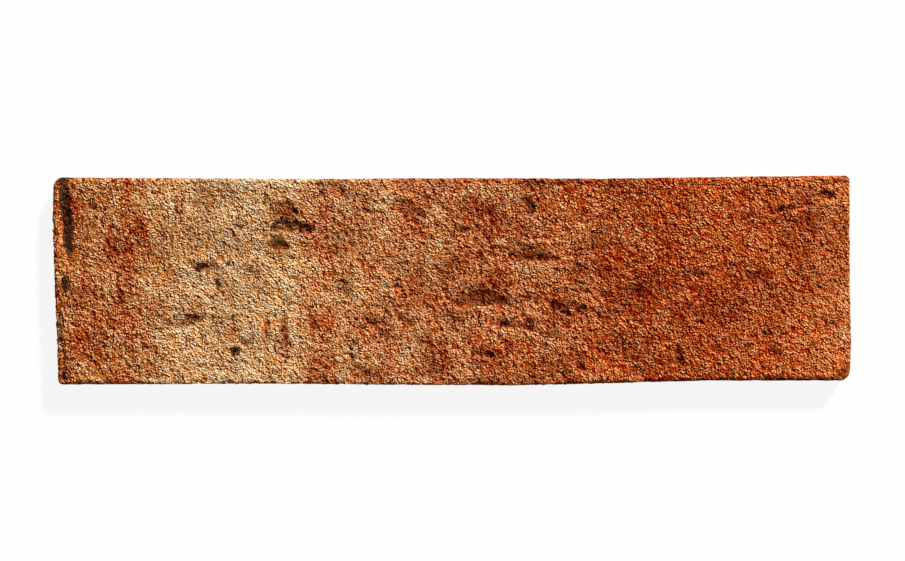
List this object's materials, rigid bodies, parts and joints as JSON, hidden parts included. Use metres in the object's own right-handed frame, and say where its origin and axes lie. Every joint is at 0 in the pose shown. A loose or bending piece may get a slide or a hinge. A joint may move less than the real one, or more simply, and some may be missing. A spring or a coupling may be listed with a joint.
{
  "type": "clinker facade tile",
  "caption": "Oblong fired-clay facade tile with a rough creased face, rounded front edges and dovetail keying grooves along its flat back, bonded to a wall as brick-look cladding.",
  "frame": {"origin": "middle of the back, on the plane of the lands between the keying grooves", "axes": "+X along the tile's length, +Y across its width, +Z out of the textured face"},
  "size_m": [0.245, 0.0646, 0.008],
  "materials": {
    "fired_clay": "unglazed and rough, orange-brown with sandy, rusty and sooty patches"
  },
  "bodies": {
    "root": {"facade_tile": "fired_clay"}
  },
  "joints": []
}
